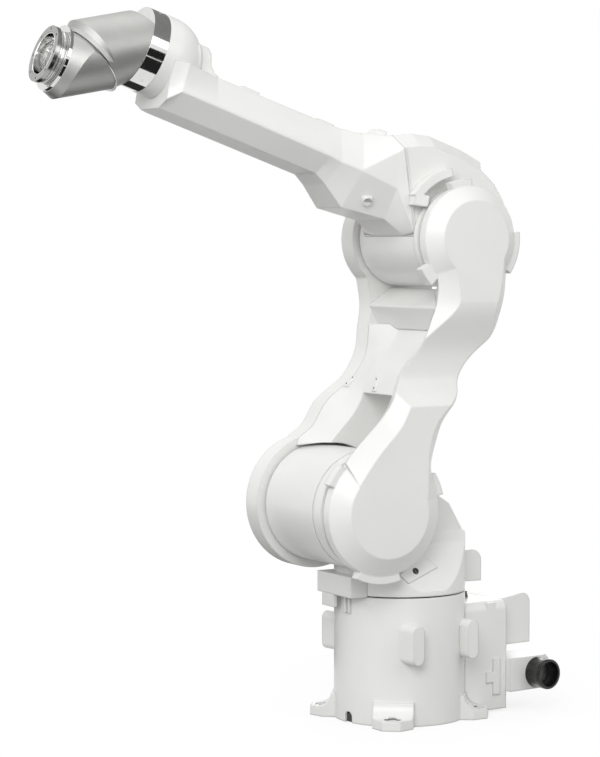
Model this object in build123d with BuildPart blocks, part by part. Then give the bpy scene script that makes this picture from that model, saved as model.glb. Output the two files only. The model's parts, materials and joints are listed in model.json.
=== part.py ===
from build123d import *
import os
from math import cos, hypot, radians, sin, tan

# Six-axis industrial robot arm with a hollow three-roll wrist.
# Millimetres, +Z up, +X forward along the arm, +Y towards the robot's left.
# The origin lies on the floor face, on the axis of the first joint.

os.makedirs("parts", exist_ok=True)

# Clearances
face_gap = 0.3
running_gap = 6.0

# Base
base_turn = 9.0
column_r = 140.0
column_h = 269.7
foot_angles = (45.0, 135.0, 225.0, 315.0)
foot_reach = 50.0
foot_tip_r = column_r + foot_reach
foot_shoulder_r = foot_tip_r - 28.0
foot_root_w = 91.0
foot_tip_w = 39.0
foot_top = 20.0
foot_root_h = 51.0
foot_hole_pcr = foot_tip_r - 25.0
foot_hole_r = 9.0
foot_spot_r = 17.0
foot_spot_depth = 2.0
pad_x = 75.0
pad_y = 153.0
pad_w = 30.0
pad_z = 174.0
pad_h = 82.0
pad_root = 9.0
notch_w = 22.0
notch_h = 23.0
notch_depth = 18.0
rail_w = 18.0
rail_out = 5.5
rail_h = 37.0
box_half_w = 98.0
box_back = 220.0
box_bottom = 5.0
box_top = 240.0
box_round = 20.0
box_tab_w = 24.0
rear_cover_back = 305.0
rear_cover_half_w = 80.0
rear_cover_bottom = 139.0
rear_cover_top = 248.0
rear_cover_round = 22.0
connector_half_h = 36.0
connector_z = 77.0
connector_front_y = 112.0
connector_back_y = 30.0
connector_out = 332.0
collar_x = 296.0
collar_r = 33.0
collar_bore_r = 27.0
collar_len = 42.0
collar_floor = 6.0
fitting_r = 7.0
fitting_h = 13.0
fitting_x = 178.0
fitting_pitch = 20.0

# Shoulder joint
shoulder_x = 131.0
shoulder_z = 455.0
drum_r = 125.0
drum_near_y = 76.0
drive_flange_r = 125.0
drive_flange_y = 112.0
flange_groove = 3.0
hub_r = 104.0

# Swivel
swivel_z = column_h + face_gap
turn_groove_h = 2.5
turn_groove_in = 4.0
swivel_back = 150.0
swivel_half_w = 88.0
facet_low_z = 282.0
facet_low_y = 137.0
facet_high_z = 378.0
crown_half_w = 54.0
crown_z = 400.0
front_block_x = 161.0
front_block_half_w = 71.0
front_block_top = 314.0
stop_dog_y = -26.0
stop_dog_w = 50.0
stop_dog_h = 27.0
stop_dog_t = 8.5
rear_lug_x = 178.0
rear_lug_half_w = 45.0
rear_lug_bottom = 284.0
rear_lug_top = 352.0
panel_corners = [(12, 33), (46, -2), (-34, -33), (-51, -13)]
panel_t = 3.0
panel_x = 22.0
panel_up = 54.0
panel_screw_at = (-10.0, -7.0)
panel_screw_r = 5.5
panel_screw_h = 4.0

# Lower arm
housing_half_w = 104.0
elbow_x = -76.5
elbow_z = 1019.0
ear_inner = housing_half_w + 29.0
ear_outer = ear_inner + 49.0
far_shoulder_r = drum_r + 18.5
far_elbow_r = 116.0
near_shoulder_r = drum_r + 6.0
near_elbow_r = 110.0
casing_inner = 60.0
casing_rim = ear_outer - 26.0
elbow_front_clear_r = 118.0
elbow_rear_clear_r = 181.0
shoulder_flat_r = 92.5
elbow_flat_r = 79.5
cap_r = 84.0
cap_t = 6.0
far_front = [(178, 560), (170, 596), (147, 612), (111, 663), (76, 693), (42, 718), (17, 752),
             (4, 785), (0, 825), (-6, 868), (-3, 905), (6, 945)]
near_front = [(223, 560), (203, 585), (175, 613), (138, 649), (108, 693), (99, 723),
              (78, 756), (48, 787), (18, 851), (6, 882), (3, 933), (20, 975)]
flat_front = [(204, 514), (172, 558), (140, 595), (108, 628), (84, 670), (68, 705),
              (45, 740), (10, 775), (-20, 838), (-36, 882), (-33, 934), (-12, 985)]
inner_front = [(178, 560), (150, 573), (117, 606), (85, 639), (58, 683), (43, 728), (17, 764),
               (-10, 787), (-34, 826), (-48, 868), (-50, 900), (-46, 930)]
rear_edge = [(-172, 985), (-165, 938), (-161, 901), (-149, 859), (-130, 818), (-100, 789), (-68, 756),
             (-48, 714), (-43, 686), (-15, 648), (9, 591), (18, 540), (5, 497), (4, 470)]
flat_rear = [(-145, 985), (-141, 938), (-134, 901), (-119, 859), (-100, 818), (-78, 789), (-50, 756),
             (-30, 714), (-22, 686), (10, 648), (35, 591), (39, 540), (40, 500), (43, 470)]
waist_dip = [(905, 0), (880, 1), (835, 16), (790, 32), (750, 36), (715, 31), (692, 16), (674, 0)]
web_bottom_z = 690.0
web_top_z = 835.0
flare_bottom_z = 566.0
flare_y = 60.0
shelf_back_x = -66.0
shelf_foot_x = -30.0
shelf_foot_z = 826.0
shelf_top_x = -58.0
shelf_top_z = 912.0
ridge_x = -4.0
ridge_z = 878.0
ridge_t = 5.0

# Upper arm
arm_rise = 19.3
elbow_drum_r = 102.0
elbow_hub_r = 92.0
elbow_flange_r = 107.0
elbow_flange_t = 15.0
rib_angle = -26.9
rib_s = 130.0
rib_h = 30.0
rib_w = 4.0
rib_out = 2.0
rib_top = (183.0, 135.0)
rib_foot = (100.0, -28.8)
housing_chamfer = 44.0
forearm_end = 694.0
nose_end = 712.0
nose_lean = -9.4
ridge_w = 88.0
bracket_w = 36.0
ridge_h = 69.0
ridge_band = 6.0
forearm_top_w = 45.0
forearm_top = 129.0
lid_places = (527.0, 342.0)
lid_len = 40.0
lid_h = 7.0
stop_arc_r = 132.0
stop_arc_h = 18.0
stop_arc_w = 24.0
forearm_bottom_w = 45.0
forearm_bottom = 25.0
nose_w = 74.0
nose_top_w = 85.0
roll_axis_h = 131.0
dome_r = 84.0
dome_s = 724.0
dome_block_w = 60.0

# Wrist
ring_start = 749.0
ring_len = 38.0
ring_r = 83.0
axis_cross_s = 828.0
bend_offset = 98.0
seam_past_middle = 24.5
tube_in_r = 73.0
tube_side_r = 80.0
seam_r = 78.0
seam_gap = 2.0
seam_collar = 10.0
seam_taper = 25.0
neck_taper = 20.0
neck_end = 933.0
neck_ring_r = 68.0
neck_wall = 2.0
neck_ring_len = 7.0
flange_face = 963.0
flange_r = 58.5
flange_body_r = 54.0
flange_plate = 9.0
flange_bore_r = 45.0
flange_pcr = 52.0
flange_hole_r = 2.5
flange_holes = 8
wrist_bore_depth = 62.0


def floor_plane(height=0.0, angle=0.0):
    """Level plane at a height, its x axis turned about the vertical."""
    turn = radians(angle)
    return Plane(origin=(0, 0, height), x_dir=(cos(turn), sin(turn), 0), z_dir=(0, 0, 1))


def base_side_plane(y):
    """Upright plane across the base at a distance y from its middle plane."""
    turn = radians(base_turn)
    return Plane(origin=(-y * sin(turn), y * cos(turn), 0), x_dir=(cos(turn), sin(turn), 0),
                 z_dir=(sin(turn), -cos(turn), 0))


def side_plane(y, x=0.0, z=0.0, rise=0.0):
    """Upright plane along the arm; extrusion from it runs towards -Y."""
    tilt = radians(rise)
    return Plane(origin=(x, y, z), x_dir=(cos(tilt), 0, sin(tilt)), z_dir=(0, -1, 0))


def elbow_plane(y):
    """Plane along the upper arm, its origin on the elbow axis."""
    return side_plane(y, elbow_x, elbow_z, arm_rise)


def arm_point(s, h):
    """Row position of a point s along and h above the elbow in the upper arm."""
    tilt = radians(arm_rise)
    return (elbow_x + s * cos(tilt) - h * sin(tilt), 0, elbow_z + s * sin(tilt) + h * cos(tilt))


def axis_plane(s, h, angle):
    """Plane square to an axis that leans by angle from the upper arm's line."""
    tilt = radians(arm_rise + angle)
    return Plane(origin=arm_point(s, h), x_dir=(0, 1, 0), z_dir=(cos(tilt), 0, sin(tilt)))


def on_circle(x, z, r, angle):
    """Point on a circle about (x, z)."""
    return (x + r * cos(radians(angle)), z + r * sin(radians(angle)))


def sector_points(x, z, r, start, end):
    """Corner points of a pie slice, its rim as six chords."""
    rim = [on_circle(x, z, r, start + (end - start) * i / 6) for i in range(7)]
    return [(x, z)] + rim


def waist_lines(front, rear):
    """Outline of the lower arm between its ears, from its front and rear edges."""
    Spline(*front)
    Line(front[-1], rear[0])
    Spline(*rear)
    Line(rear[-1], front[0])


# Base column with its four feet, side pads and front cable notch
with BuildPart() as base_column:
    with BuildSketch(floor_plane(0, base_turn)):
        Circle(column_r)
    extrude(amount=column_h)
    for angle in foot_angles:
        with BuildSketch(floor_plane(0, base_turn + angle)):
            with BuildLine():
                Polyline((column_r / 2, -foot_root_w / 2), (foot_shoulder_r, -foot_root_w / 2 + 3),
                         (foot_tip_r, -foot_tip_w / 2), (foot_tip_r, foot_tip_w / 2),
                         (foot_shoulder_r, foot_root_w / 2 - 3), (column_r / 2, foot_root_w / 2),
                         close=True)
            make_face()
        extrude(amount=foot_root_h)
    for angle in foot_angles:
        turn = radians(base_turn + angle)
        scoop_r = foot_root_h - foot_top
        scoop_x = column_r + 3 + scoop_r
        scoop_plane = Plane(origin=(0, 0, 0), x_dir=(cos(turn), sin(turn), 0),
                            z_dir=(sin(turn), -cos(turn), 0))
        with BuildSketch(scoop_plane):
            with BuildLine():
                start = (scoop_x - scoop_r, foot_root_h)
                middle = (scoop_x - scoop_r * cos(radians(45)), foot_root_h - scoop_r * sin(radians(45)))
                end = (scoop_x, foot_top)
                ThreePointArc(start, middle, end)
                Polyline(end, (foot_tip_r + 10, foot_top), (foot_tip_r + 10, foot_root_h + 5),
                         (start[0], foot_root_h + 5), start)
            make_face()
        extrude(amount=foot_root_w, both=True, mode=Mode.SUBTRACT)
    with BuildSketch(floor_plane(0, base_turn)):
        with PolarLocations(foot_hole_pcr, len(foot_angles), start_angle=foot_angles[0]):
            Circle(foot_hole_r)
    extrude(amount=foot_root_h, mode=Mode.SUBTRACT)
    with BuildSketch(floor_plane(foot_top - foot_spot_depth, base_turn)):
        with PolarLocations(foot_hole_pcr, len(foot_angles), start_angle=foot_angles[0]):
            Circle(foot_spot_r)
    extrude(amount=foot_spot_depth + 1, mode=Mode.SUBTRACT)
    for side in (1, -1):
        with BuildSketch(base_side_plane(side * pad_y)):
            with Locations((pad_x, pad_z), (-pad_x, pad_z)):
                RectangleRounded(pad_w, pad_h, pad_w / 2 - 1)
        extrude(amount=side * (pad_y - column_r / 2), taper=0)
    with BuildSketch(Plane(origin=(0, 0, 0), x_dir=(-sin(radians(base_turn)), cos(radians(base_turn)), 0),
                           z_dir=(cos(radians(base_turn)), sin(radians(base_turn)), 0))
                     .offset(column_r - notch_depth)):
        with Locations((0, (notch_h - notch_w / 2) / 2 - 1)):
            Rectangle(notch_w, notch_h - notch_w / 2 + 2)
        with Locations((0, notch_h - notch_w / 2)):
            Circle(notch_w / 2)
    extrude(amount=notch_depth + 5, mode=Mode.SUBTRACT)

base_column.part.label = "base_column"
export_step(base_column.part, "parts/base_column.step")

# Ribbed rail at the front of the column, under the stop
with BuildPart() as stop_rail:
    with BuildSketch(floor_plane(column_h - rail_h, base_turn)):
        with Locations((column_r, -rail_w / 3), (column_r, rail_w / 3)):
            Rectangle(2 * rail_out, rail_w / 3)
        Circle(column_r, mode=Mode.SUBTRACT)
    extrude(amount=rail_h - 1)

stop_rail.part.label = "stop_rail"
export_step(stop_rail.part, "parts/stop_rail.step")

# Junction box behind the column
with BuildPart() as rear_junction_box:
    with BuildSketch(floor_plane(box_bottom, base_turn)):
        with Locations((-box_back / 2, 0)):
            Rectangle(box_back, 2 * box_half_w)
    extrude(amount=box_top - box_bottom)
    fillet(rear_junction_box.edges().filter_by(
        Axis((0, 0, 0), (cos(radians(base_turn)), sin(radians(base_turn)), 0))).group_by(Axis.Z)[-1],
        radius=box_round)
    with BuildSketch(floor_plane(box_top - box_round, base_turn)):
        with Locations((-box_back + 45, 0)):
            Rectangle(box_tab_w, 2 * box_half_w)
    extrude(amount=box_round - 3)
    with BuildSketch(floor_plane(0, base_turn)):
        Circle(column_r)
    extrude(amount=box_top + 10, mode=Mode.SUBTRACT)
    add(base_column.part, mode=Mode.SUBTRACT)

rear_junction_box.part.label = "rear_junction_box"
export_step(rear_junction_box.part, "parts/rear_junction_box.step")

# Raised T shaped pad on the box's left side
with BuildPart() as box_side_pad:
    with BuildSketch(base_side_plane(box_half_w)):
        with Locations((-box_back + 30, 76)):
            Rectangle(20, 78)
        with Locations((-box_back + 48, 76)):
            Rectangle(24, 23)
    extrude(amount=-3)

box_side_pad.part.label = "box_side_pad"
export_step(box_side_pad.part, "parts/box_side_pad.step")

# Cover that overhangs at the back of the box
with BuildPart() as rear_cover:
    with BuildSketch(base_side_plane(rear_cover_half_w)):
        with BuildLine():
            Polyline((-box_back, rear_cover_bottom), (-rear_cover_back, rear_cover_bottom),
                     (-rear_cover_back, rear_cover_top - rear_cover_round))
            ThreePointArc((-rear_cover_back, rear_cover_top - rear_cover_round),
                          (-rear_cover_back + rear_cover_round * (1 - cos(radians(45))),
                           rear_cover_top - rear_cover_round * (1 - sin(radians(45)))),
                          (-rear_cover_back + rear_cover_round, rear_cover_top))
            Polyline((-rear_cover_back + rear_cover_round, rear_cover_top), (-box_back, box_top),
                     (-box_back, rear_cover_bottom))
        make_face()
    extrude(amount=2 * rear_cover_half_w)

rear_cover.part.label = "rear_cover"
export_step(rear_cover.part, "parts/rear_cover.step")

# Connector housing behind the box, its mouth to the left
with BuildPart() as connector_block:
    with BuildSketch(base_side_plane(connector_front_y)):
        with Locations((-(box_back + connector_out) / 2, connector_z)):
            Rectangle(connector_out - box_back, 2 * connector_half_h)
    extrude(amount=connector_front_y - connector_back_y)
    chamfer(connector_block.edges().filter_by(
        Axis((0, 0, 0), (sin(radians(base_turn)), -cos(radians(base_turn)), 0)))
        .sort_by(Axis.X)[:2], length=9)

connector_block.part.label = "connector_block"
export_step(connector_block.part, "parts/connector_block.step")

# Open collar for the cable conduit
with BuildPart() as conduit_collar:
    with BuildSketch(base_side_plane(connector_front_y + collar_len)):
        with Locations((-collar_x, connector_z)):
            Circle(collar_r)
    extrude(amount=collar_len)
    with BuildSketch(base_side_plane(connector_front_y + collar_len)):
        with Locations((-collar_x, connector_z)):
            Circle(collar_bore_r)
    extrude(amount=collar_len - collar_floor, mode=Mode.SUBTRACT)

conduit_collar.part.label = "conduit_collar"
export_step(conduit_collar.part, "parts/conduit_collar.step")

# Air fittings on top of the box
with BuildPart() as air_fittings:
    with BuildSketch(floor_plane(box_top, base_turn)):
        with Locations((-fitting_x, -fitting_pitch / 2), (-fitting_x, fitting_pitch / 2)):
            Circle(fitting_r)
    extrude(amount=fitting_h)

air_fittings.part.label = "air_fittings"
export_step(air_fittings.part, "parts/air_fittings.step")

# Swivel turret, from the turntable up to the shoulder
with BuildPart() as swivel_turret:
    with BuildSketch(side_plane(column_r)):
        Polygon((-swivel_back, swivel_z), (-swivel_back, 352), (-90, 456), (40, 541),
                (shoulder_x, shoulder_z), (column_r + 1, 330), (column_r + 1, swivel_z), align=None)
    extrude(amount=2 * column_r)
    with BuildSketch(Plane.XY.offset(swivel_z)):
        Circle(column_r)
    extrude(amount=400, mode=Mode.INTERSECT)
    with BuildSketch(Plane.XY.offset(swivel_z)):
        Circle(column_r + 1)
        Circle(column_r - turn_groove_in, mode=Mode.SUBTRACT)
    extrude(amount=turn_groove_h, mode=Mode.SUBTRACT)
    for side in (1, -1):
        with BuildSketch(Plane.YZ.offset(-200)):
            Polygon((side * facet_low_y, facet_low_z), (side * swivel_half_w, facet_high_z),
                    (side * crown_half_w, crown_z), (side * crown_half_w, 700),
                    (side * 200, 700), (side * 200, facet_low_z), align=None)
        extrude(amount=400, mode=Mode.SUBTRACT)
    with BuildSketch(Plane.XZ.offset(-ear_inner)):
        with Locations((shoulder_x, shoulder_z)):
            Circle(drum_r)
    extrude(amount=2 * ear_inner, mode=Mode.SUBTRACT)

swivel_turret.part.label = "swivel_turret"
export_step(swivel_turret.part, "parts/swivel_turret.step")

# Shoulder drum across the turret, its far end running on the far side plate
with BuildPart() as shoulder_drum:
    with BuildSketch(side_plane(drum_near_y, shoulder_x, shoulder_z)):
        Circle(drum_r)
    extrude(amount=drum_near_y + ear_inner - running_gap)
    with BuildSketch(side_plane(drum_near_y, shoulder_x, shoulder_z)):
        Circle(hub_r)
    extrude(amount=drum_near_y + ear_inner - face_gap)

shoulder_drum.part.label = "shoulder_drum"
export_step(shoulder_drum.part, "parts/shoulder_drum.step")

# Drive flange between the drum and the near casing
with BuildPart() as shoulder_drive_flange:
    with BuildSketch(side_plane(drive_flange_y, shoulder_x, shoulder_z)):
        Circle(drive_flange_r)
    extrude(amount=drive_flange_y - drum_near_y - flange_groove)
    with BuildSketch(side_plane(ear_inner - face_gap, shoulder_x, shoulder_z)):
        Circle(hub_r)
    extrude(amount=ear_inner - face_gap - drum_near_y)

shoulder_drive_flange.part.label = "shoulder_drive_flange"
export_step(shoulder_drive_flange.part, "parts/shoulder_drive_flange.step")

# Block at the front of the turret
with BuildPart() as front_block:
    with BuildSketch(Plane.XY.offset(swivel_z)):
        with Locations((front_block_x / 2, 0)):
            Rectangle(front_block_x, 2 * front_block_half_w)
        Circle(column_r, mode=Mode.SUBTRACT)
    extrude(amount=front_block_top - swivel_z)
    add(swivel_turret.part, mode=Mode.SUBTRACT)
    add(shoulder_drum.part, mode=Mode.SUBTRACT)

front_block.part.label = "front_block"
export_step(front_block.part, "parts/front_block.step")

# Stop dog that hangs below the front block, clear of the rail
with BuildPart() as stop_dog:
    with BuildSketch(Plane.XY.offset(swivel_z - stop_dog_h)):
        with Locations((front_block_x - stop_dog_t / 2, stop_dog_y)):
            Rectangle(stop_dog_t, stop_dog_w)
    extrude(amount=stop_dog_h)

stop_dog.part.label = "stop_dog"
export_step(stop_dog.part, "parts/stop_dog.step")

# Rounded cover behind the turret
with BuildPart() as swivel_rear_cover:
    with BuildSketch(side_plane(rear_lug_half_w)):
        with BuildLine():
            Polyline((-column_r / 2, rear_lug_bottom), (-rear_lug_x, rear_lug_bottom),
                     (-rear_lug_x, rear_lug_top - 24))
            ThreePointArc((-rear_lug_x, rear_lug_top - 24), (-rear_lug_x + 7, rear_lug_top - 7),
                          (-rear_lug_x + 24, rear_lug_top))
            Polyline((-rear_lug_x + 24, rear_lug_top), (-column_r / 2, rear_lug_top),
                     (-column_r / 2, rear_lug_bottom))
        make_face()
    extrude(amount=2 * rear_lug_half_w)
    add(swivel_turret.part, mode=Mode.SUBTRACT)
    with BuildSketch(Plane.XY.offset(rear_lug_bottom)):
        Circle(column_r)
    extrude(amount=100, mode=Mode.SUBTRACT)

swivel_rear_cover.part.label = "swivel_rear_cover"
export_step(swivel_rear_cover.part, "parts/swivel_rear_cover.step")

# Access panel on the left facet of the turret, with its screw
facet_tilt = hypot(facet_low_y - swivel_half_w, facet_high_z - facet_low_z)
facet_up = (0, (swivel_half_w - facet_low_y) / facet_tilt, (facet_high_z - facet_low_z) / facet_tilt)
facet_out = (0, facet_up[2], -facet_up[1])
facet_plane = Plane(origin=(panel_x, facet_low_y + panel_up * facet_up[1], facet_low_z + panel_up * facet_up[2]),
                    x_dir=(-1, 0, 0), z_dir=facet_out)

with BuildPart() as access_panel:
    with BuildSketch(facet_plane):
        Polygon(*panel_corners, align=None)
    extrude(amount=panel_t)

access_panel.part.label = "access_panel"
export_step(access_panel.part, "parts/access_panel.step")

with BuildPart() as panel_screw:
    with BuildSketch(facet_plane.offset(panel_t)):
        with Locations(panel_screw_at):
            Circle(panel_screw_r)
    extrude(amount=panel_screw_h)

panel_screw.part.label = "panel_screw"
export_step(panel_screw.part, "parts/panel_screw.step")

# Far side plate of the lower arm
with BuildPart() as far_side_plate:
    with BuildSketch(side_plane(-ear_inner)):
        with BuildLine():
            waist_lines(far_front, rear_edge)
        make_face()
        with Locations((shoulder_x, shoulder_z)):
            Circle(far_shoulder_r)
        with Locations((elbow_x, elbow_z)):
            Circle(far_elbow_r)
    extrude(amount=ear_outer - ear_inner)

far_side_plate.part.label = "far_side_plate"
export_step(far_side_plate.part, "parts/far_side_plate.step")

# Near side casing of the lower arm, flared in front, dipped at the waist and bevelled round both drives
lugs = [(shoulder_x, shoulder_z, near_shoulder_r + 16.5, -106, -64),
        (shoulder_x, shoulder_z, near_shoulder_r + 12.5, 26, 46),
        (shoulder_x, shoulder_z, near_shoulder_r + 15, 148, 167),
        (elbow_x, elbow_z, near_elbow_r + 14, 67, 92), (elbow_x, elbow_z, near_elbow_r + 25, -46, -28),
        (elbow_x, elbow_z, near_elbow_r + 14, 173, 216)]
waist_plane = Plane(origin=(0, 0, 0), x_dir=(0, 1, 0), z_dir=(1, 0, 0))
waist_points = [(ear_outer - dip, z) for z, dip in waist_dip]

with BuildPart() as near_side_casing:
    with BuildSketch(side_plane(casing_inner)):
        with BuildLine():
            waist_lines(inner_front, rear_edge)
        make_face()
    with BuildSketch(side_plane(casing_rim)):
        with BuildLine():
            waist_lines(near_front, rear_edge)
        make_face()
    loft(ruled=True)
    with BuildSketch(side_plane(casing_rim)):
        with BuildLine():
            waist_lines(near_front, rear_edge)
        make_face()
    with BuildSketch(side_plane(ear_outer)):
        with BuildLine():
            waist_lines(flat_front, flat_rear)
        make_face()
    loft(ruled=True)
    with BuildSketch(side_plane(casing_rim)):
        with Locations((shoulder_x, shoulder_z)):
            Circle(near_shoulder_r)
        with Locations((elbow_x, elbow_z)):
            Circle(near_elbow_r)
        for x, z, r, start, end in lugs:
            Polygon(*sector_points(x, z, r, start, end), align=None)
    extrude(amount=casing_rim - ear_inner)
    for x, z, rim_r, flat_r in ((shoulder_x, shoulder_z, near_shoulder_r, shoulder_flat_r),
                                (elbow_x, elbow_z, near_elbow_r, elbow_flat_r)):
        with BuildSketch(side_plane(casing_rim)):
            with Locations((x, z)):
                Circle(rim_r)
        with BuildSketch(side_plane(ear_outer)):
            with Locations((x, z)):
                Circle(flat_r)
        loft()
    with BuildSketch(waist_plane):
        with BuildLine():
            Spline(*waist_points)
            Polyline(waist_points[-1], (ear_outer + 40, waist_points[-1][1]),
                     (ear_outer + 40, waist_points[0][1]), waist_points[0])
        make_face()
    extrude(amount=300, both=True, mode=Mode.SUBTRACT)
    with BuildSketch(side_plane(ear_inner)):
        with Locations((shoulder_x, shoulder_z)):
            Circle(near_shoulder_r)
        with Locations((elbow_x, elbow_z)):
            Circle(elbow_front_clear_r)
        Polygon(*sector_points(elbow_x, elbow_z, elbow_rear_clear_r, 160, 268), align=None)
    extrude(amount=2 * ear_inner, mode=Mode.SUBTRACT)

near_side_casing.part.label = "near_side_casing"
export_step(near_side_casing.part, "parts/near_side_casing.step")

# Web between the two sides of the lower arm, flared out to the far plate
with BuildPart() as arm_web:
    with BuildSketch(side_plane(-flare_y)):
        with BuildLine():
            waist_lines(inner_front, rear_edge)
        make_face()
    with BuildSketch(side_plane(-ear_inner)):
        with BuildLine():
            waist_lines(far_front, rear_edge)
        make_face()
    loft(ruled=True)
    with BuildSketch(side_plane(0)):
        with Locations((0, flare_bottom_z / 2)):
            Rectangle(1000, flare_bottom_z)
        with Locations((0, web_top_z + 200)):
            Rectangle(1000, 400)
        with Locations((shoulder_x, shoulder_z)):
            Circle(near_shoulder_r)
    extrude(amount=2 * ear_inner, mode=Mode.SUBTRACT)
    with BuildSketch(side_plane(casing_inner)):
        with BuildLine():
            waist_lines(inner_front, rear_edge)
        make_face()
        with Locations((0, (web_bottom_z + web_top_z) / 2)):
            Rectangle(1000, web_top_z - web_bottom_z, mode=Mode.INTERSECT)
    extrude(amount=casing_inner + flare_y)

arm_web.part.label = "arm_web"
export_step(arm_web.part, "parts/arm_web.step")

# Shelf above the web, its top falling forward to a ridge and its underside drawn back to the web
with BuildPart() as arm_crossbar:
    with BuildSketch(side_plane(ear_inner)):
        Polygon((shelf_back_x, shelf_foot_z), (shelf_back_x, elbow_z), (shelf_top_x, elbow_z),
                (shelf_top_x, shelf_top_z), (ridge_x, ridge_z), (ridge_x, ridge_z - ridge_t),
                (shelf_foot_x, shelf_foot_z), align=None)
    extrude(amount=2 * ear_inner)
    with BuildSketch(side_plane(ear_inner, elbow_x, elbow_z)):
        Circle(elbow_drum_r + running_gap)
    extrude(amount=2 * ear_inner, mode=Mode.SUBTRACT)
    with BuildSketch(side_plane(ear_inner, elbow_x, elbow_z)):
        Circle(elbow_flange_r + running_gap)
    extrude(amount=ear_inner - housing_half_w + running_gap, mode=Mode.SUBTRACT)
    add(arm_web.part, mode=Mode.SUBTRACT)
    add(near_side_casing.part, mode=Mode.SUBTRACT)

arm_crossbar.part.label = "arm_crossbar"
export_step(arm_crossbar.part, "parts/arm_crossbar.step")

# Bearing caps on the far side
with BuildPart() as far_shoulder_cap:
    with BuildSketch(side_plane(-ear_outer, shoulder_x, shoulder_z)):
        Circle(cap_r)
    extrude(amount=cap_t)

far_shoulder_cap.part.label = "far_shoulder_cap"
export_step(far_shoulder_cap.part, "parts/far_shoulder_cap.step")

with BuildPart() as far_elbow_cap:
    with BuildSketch(side_plane(-ear_outer, elbow_x, elbow_z)):
        Circle(cap_r - 14)
    extrude(amount=cap_t)

far_elbow_cap.part.label = "far_elbow_cap"
export_step(far_elbow_cap.part, "parts/far_elbow_cap.step")

# Elbow drum between the ears
with BuildPart() as elbow_drum:
    with BuildSketch(elbow_plane(housing_half_w)):
        Circle(elbow_drum_r)
    extrude(amount=housing_half_w + ear_inner - running_gap)
    with BuildSketch(elbow_plane(housing_half_w)):
        Circle(elbow_hub_r)
    extrude(amount=housing_half_w + ear_inner - face_gap)

elbow_drum.part.label = "elbow_drum"
export_step(elbow_drum.part, "parts/elbow_drum.step")

# Drive flange between the elbow drum and the near casing
with BuildPart() as elbow_drive_flange:
    with BuildSketch(elbow_plane(housing_half_w + elbow_flange_t)):
        Circle(elbow_flange_r)
    extrude(amount=elbow_flange_t)
    with BuildSketch(elbow_plane(ear_inner - face_gap)):
        Circle(elbow_hub_r)
    extrude(amount=ear_inner - face_gap - housing_half_w)

elbow_drive_flange.part.label = "elbow_drive_flange"
export_step(elbow_drive_flange.part, "parts/elbow_drive_flange.step")

# Elbow housing over the drum, its upper edges bevelled, with a rib down its front border
housing_face = [rib_top, (150, 151), (115, 163), (50, 162), (-7, 157), (-48, 142), (-84, 112),
                (-112, 84), (-132, 50), (-134, 42), (-95, 28), (0, -60), rib_foot]
housing_crown = [(196, 160), (152, 180), (112, 189), (27, 189), (-29, 182), (-71, 158), (-106, 125),
                 (-131, 104), (-155, 70), (-152, 45), (-95, 28), (0, -60), rib_foot]

with BuildPart() as elbow_housing:
    for side in (1, -1):
        with BuildSketch(elbow_plane(side * housing_half_w)):
            Polygon(*housing_face, align=None)
        with BuildSketch(elbow_plane(side * (housing_half_w - housing_chamfer))):
            Polygon(*housing_crown, align=None)
        loft(ruled=True)
    with BuildSketch(elbow_plane(housing_half_w - housing_chamfer)):
        Polygon(*housing_crown, align=None)
    extrude(amount=2 * (housing_half_w - housing_chamfer))
    with BuildSketch(elbow_plane(housing_half_w + rib_out)):
        Polygon((rib_top[0] - rib_w, rib_top[1]), rib_top, rib_foot, (rib_foot[0] - rib_w, rib_foot[1]), align=None)
    extrude(amount=rib_out + 1)
    with BuildSketch(elbow_plane(housing_half_w)):
        Circle(elbow_drum_r)
    extrude(amount=2 * housing_half_w, mode=Mode.SUBTRACT)
    add(elbow_drive_flange.part, mode=Mode.SUBTRACT)

elbow_housing.part.label = "elbow_housing"
export_step(elbow_housing.part, "parts/elbow_housing.step")

# Dome behind the wrist
roll_axis = Axis(arm_point(0, roll_axis_h), (cos(radians(arm_rise)), 0, sin(radians(arm_rise))))
dome_end = ring_start - face_gap

with BuildPart() as wrist_dome:
    with BuildSketch(elbow_plane(0)):
        with BuildLine():
            Polyline((dome_s - dome_r, roll_axis_h), (dome_end, roll_axis_h),
                     (dome_end, roll_axis_h + dome_r), (dome_s, roll_axis_h + dome_r))
            ThreePointArc((dome_s, roll_axis_h + dome_r),
                          (dome_s - dome_r * sin(radians(45)), roll_axis_h + dome_r * cos(radians(45))),
                          (dome_s - dome_r, roll_axis_h))
        make_face()
    revolve(axis=roll_axis)

wrist_dome.part.label = "wrist_dome"
export_step(wrist_dome.part, "parts/wrist_dome.step")

# Forearm, eight-sided in section, from the elbow housing's rib to its nose under the dome
forearm_rings = [
    (rib_s, rib_h, rib_angle, [(60, 146), (housing_half_w, 117.7), (housing_half_w, -62), (60, -66)]),
    (172, 50, rib_angle / 2, [(58, 112), (103, 77.4), (101, 0), (62, -64)]),
    (258, 0, 0, [(52, 139), (98, 60), (98, 56), (52, -22)]),
    (308, 0, 0, [(forearm_top_w, 133), (ridge_w, 64), (ridge_w, 58), (47, 12)]),
    (334, 0, 0, [(forearm_top_w, 131), (ridge_w, 66), (ridge_w, 60), (forearm_bottom_w, forearm_bottom)]),
    (610, 0, 0, [(forearm_top_w, forearm_top), (ridge_w, ridge_h), (ridge_w, ridge_h - ridge_band),
                 (forearm_bottom_w, forearm_bottom)]),
    (forearm_end, 0, 0, [(nose_top_w - 1, forearm_top - 5), (ridge_w, ridge_h), (ridge_w, ridge_h - ridge_band),
                         (forearm_bottom_w, forearm_bottom)]),
    (nose_end, forearm_bottom, nose_lean, [(nose_top_w, 96), (nose_w, 40), (nose_w, 40 - 4 * ridge_band),
                                           (forearm_bottom_w - 5, 0)]),
]

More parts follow.
